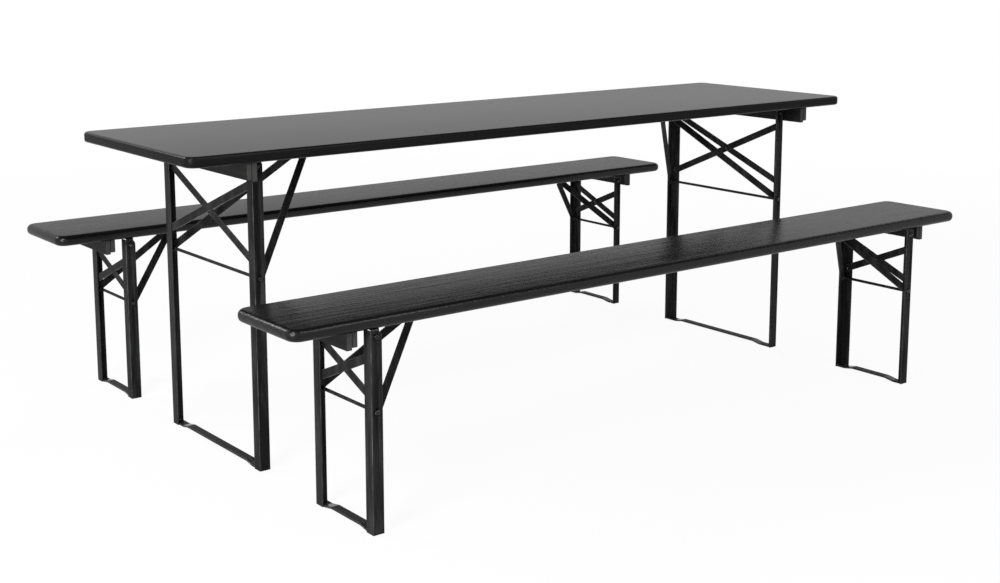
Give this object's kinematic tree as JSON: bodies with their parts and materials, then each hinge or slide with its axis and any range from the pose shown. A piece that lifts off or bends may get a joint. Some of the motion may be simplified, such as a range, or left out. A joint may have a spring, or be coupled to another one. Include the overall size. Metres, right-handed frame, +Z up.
{
  "type": "folding table with benches",
  "caption": "Long narrow folding table with a pair of free-standing folding benches: black stained boards on angle-steel leg frames that fold flat under them.",
  "frame": {"origin": "on the floor under the middle of the table", "axes": "+X along the boards, +Y towards the far bench, +Z up"},
  "size_m": [2.2, 1.47, 0.78],
  "materials": {
    "table_board": "matte black-stained wood",
    "bench_board": "satin black-stained wood with visible grain",
    "batten_wood": "matte black-stained wood",
    "black_steel": "satin black powder coat",
    "hinge_steel": "black powder coat, worn at the pins",
    "spring_steel": "blued spring steel"
  },
  "bodies": {
    "table_top": {"table_top": "table_board", "table_left_batten": "batten_wood", "table_left_hinge_plate": "hinge_steel", "table_right_batten": "batten_wood", "table_right_hinge_plate": "hinge_steel"},
    "near_bench_board": {"near_bench_seat": "bench_board", "near_bench_left_batten": "batten_wood", "near_bench_left_hinge_plate": "hinge_steel", "near_bench_right_batten": "batten_wood", "near_bench_right_hinge_plate": "hinge_steel"},
    "far_bench_board": {"far_bench_seat": "bench_board", "far_bench_left_batten": "batten_wood", "far_bench_left_hinge_plate": "hinge_steel", "far_bench_right_batten": "batten_wood", "far_bench_right_hinge_plate": "hinge_steel"},
    "table_left_legs": {"table_left_front_leg": "black_steel", "table_left_rear_leg": "black_steel", "table_left_foot_bar": "black_steel", "table_left_outer_cross_bar": "black_steel", "table_left_inner_cross_bar": "black_steel"},
    "table_left_brace": {"table_left_brace_rod": "black_steel", "table_left_brace_front_arm": "black_steel", "table_left_brace_rear_arm": "black_steel"},
    "table_left_catch": {"table_left_spring_catch": "spring_steel"},
    "table_right_legs": {"table_right_front_leg": "black_steel", "table_right_rear_leg": "black_steel", "table_right_foot_bar": "black_steel", "table_right_outer_cross_bar": "black_steel", "table_right_inner_cross_bar": "black_steel"},
    "table_right_brace": {"table_right_brace_rod": "black_steel", "table_right_brace_front_arm": "black_steel", "table_right_brace_rear_arm": "black_steel"},
    "table_right_catch": {"table_right_spring_catch": "spring_steel"},
    "near_bench_left_legs": {"near_bench_left_front_leg": "black_steel", "near_bench_left_rear_leg": "black_steel", "near_bench_left_foot_bar": "black_steel", "near_bench_left_cross_bars": "black_steel"},
    "near_bench_left_brace": {"near_bench_left_brace": "black_steel"},
    "near_bench_left_catch": {"near_bench_left_spring_catch": "spring_steel"},
    "near_bench_right_legs": {"near_bench_right_front_leg": "black_steel", "near_bench_right_rear_leg": "black_steel", "near_bench_right_foot_bar": "black_steel", "near_bench_right_cross_bars": "black_steel"},
    "near_bench_right_brace": {"near_bench_right_brace": "black_steel"},
    "near_bench_right_catch": {"near_bench_right_spring_catch": "spring_steel"},
    "far_bench_left_legs": {"far_bench_left_front_leg": "black_steel", "far_bench_left_rear_leg": "black_steel", "far_bench_left_foot_bar": "black_steel", "far_bench_left_cross_bars": "black_steel"},
    "far_bench_left_brace": {"far_bench_left_brace": "black_steel"},
    "far_bench_left_catch": {"far_bench_left_spring_catch": "spring_steel"},
    "far_bench_right_legs": {"far_bench_right_front_leg": "black_steel", "far_bench_right_rear_leg": "black_steel", "far_bench_right_foot_bar": "black_steel", "far_bench_right_cross_bars": "black_steel"},
    "far_bench_right_brace": {"far_bench_right_brace": "black_steel"},
    "far_bench_right_catch": {"far_bench_right_spring_catch": "spring_steel"}
  },
  "joints": [
    {"name": "table_left_leg_fold", "type": "hinge", "parent": "table_top", "child": "table_left_legs", "pos_m": [-0.896, 0, 0.736], "axis": [0, -1, 0], "range_deg": [0, 90]},
    {"name": "table_left_brace_fold", "type": "hinge", "parent": "table_left_legs", "child": "table_left_brace", "pos_m": [-0.896, 0, 0.469], "axis": [0, 1, 0], "range_deg": [0, 135.5]},
    {"name": "table_left_catch_press", "type": "hinge", "parent": "table_top", "child": "table_left_catch", "pos_m": [-0.658, 0, 0.744], "axis": [0, -1, 0], "range_deg": [0, 7], "stiffness_Nm_per_rad": 2},
    {"name": "table_right_leg_fold", "type": "hinge", "parent": "table_top", "child": "table_right_legs", "pos_m": [0.896, 0, 0.736], "axis": [0, 1, 0], "range_deg": [0, 90]},
    {"name": "table_right_brace_fold", "type": "hinge", "parent": "table_right_legs", "child": "table_right_brace", "pos_m": [0.896, 0, 0.469], "axis": [0, -1, 0], "range_deg": [0, 135.5]},
    {"name": "table_right_catch_press", "type": "hinge", "parent": "table_top", "child": "table_right_catch", "pos_m": [0.658, 0, 0.744], "axis": [0, 1, 0], "range_deg": [0, 7], "stiffness_Nm_per_rad": 2},
    {"name": "near_bench_slide", "type": "slide", "parent": "table_top", "child": "near_bench_board", "axis": [0, -1, 0], "range_m": [0, 0.3]},
    {"name": "near_bench_left_leg_fold", "type": "hinge", "parent": "near_bench_board", "child": "near_bench_left_legs", "pos_m": [-0.896, -0.61, 0.434], "axis": [0, -1, 0], "range_deg": [0, 90]},
    {"name": "near_bench_left_brace_fold", "type": "hinge", "parent": "near_bench_left_legs", "child": "near_bench_left_brace", "pos_m": [-0.896, -0.61, 0.271], "axis": [0, 1, 0], "range_deg": [0, 134.8]},
    {"name": "near_bench_left_catch_press", "type": "hinge", "parent": "near_bench_board", "child": "near_bench_left_catch", "pos_m": [-0.757, -0.61, 0.442], "axis": [0, -1, 0], "range_deg": [0, 7], "stiffness_Nm_per_rad": 2},
    {"name": "near_bench_right_leg_fold", "type": "hinge", "parent": "near_bench_board", "child": "near_bench_right_legs", "pos_m": [0.896, -0.61, 0.434], "axis": [0, 1, 0], "range_deg": [0, 90]},
    {"name": "near_bench_right_brace_fold", "type": "hinge", "parent": "near_bench_right_legs", "child": "near_bench_right_brace", "pos_m": [0.896, -0.61, 0.271], "axis": [0, -1, 0], "range_deg": [0, 134.8]},
    {"name": "near_bench_right_catch_press", "type": "hinge", "parent": "near_bench_board", "child": "near_bench_right_catch", "pos_m": [0.757, -0.61, 0.442], "axis": [0, 1, 0], "range_deg": [0, 7], "stiffness_Nm_per_rad": 2},
    {"name": "far_bench_slide", "type": "slide", "parent": "table_top", "child": "far_bench_board", "axis": [0, 1, 0], "range_m": [0, 0.3]},
    {"name": "far_bench_left_leg_fold", "type": "hinge", "parent": "far_bench_board", "child": "far_bench_left_legs", "pos_m": [-0.896, 0.61, 0.434], "axis": [0, -1, 0], "range_deg": [0, 90]},
    {"name": "far_bench_left_brace_fold", "type": "hinge", "parent": "far_bench_left_legs", "child": "far_bench_left_brace", "pos_m": [-0.896, 0.61, 0.271], "axis": [0, 1, 0], "range_deg": [0, 134.8]},
    {"name": "far_bench_left_catch_press", "type": "hinge", "parent": "far_bench_board", "child": "far_bench_left_catch", "pos_m": [-0.757, 0.61, 0.442], "axis": [0, -1, 0], "range_deg": [0, 7], "stiffness_Nm_per_rad": 2},
    {"name": "far_bench_right_leg_fold", "type": "hinge", "parent": "far_bench_board", "child": "far_bench_right_legs", "pos_m": [0.896, 0.61, 0.434], "axis": [0, 1, 0], "range_deg": [0, 90]},
    {"name": "far_bench_right_brace_fold", "type": "hinge", "parent": "far_bench_right_legs", "child": "far_bench_right_brace", "pos_m": [0.896, 0.61, 0.271], "axis": [0, -1, 0], "range_deg": [0, 134.8]},
    {"name": "far_bench_right_catch_press", "type": "hinge", "parent": "far_bench_board", "child": "far_bench_right_catch", "pos_m": [0.757, 0.61, 0.442], "axis": [0, 1, 0], "range_deg": [0, 7], "stiffness_Nm_per_rad": 2}
  ],
  "couplings": [
    {"joint": "table_left_brace_fold", "follows": "table_left_leg_fold", "ratio": 1.5037},
    {"joint": "table_right_brace_fold", "follows": "table_right_leg_fold", "ratio": 1.5037},
    {"joint": "near_bench_left_brace_fold", "follows": "near_bench_left_leg_fold", "ratio": 1.4966},
    {"joint": "near_bench_right_brace_fold", "follows": "near_bench_right_leg_fold", "ratio": 1.4966},
    {"joint": "far_bench_left_brace_fold", "follows": "far_bench_left_leg_fold", "ratio": 1.4966},
    {"joint": "far_bench_right_brace_fold", "follows": "far_bench_right_leg_fold", "ratio": 1.4966}
  ]
}
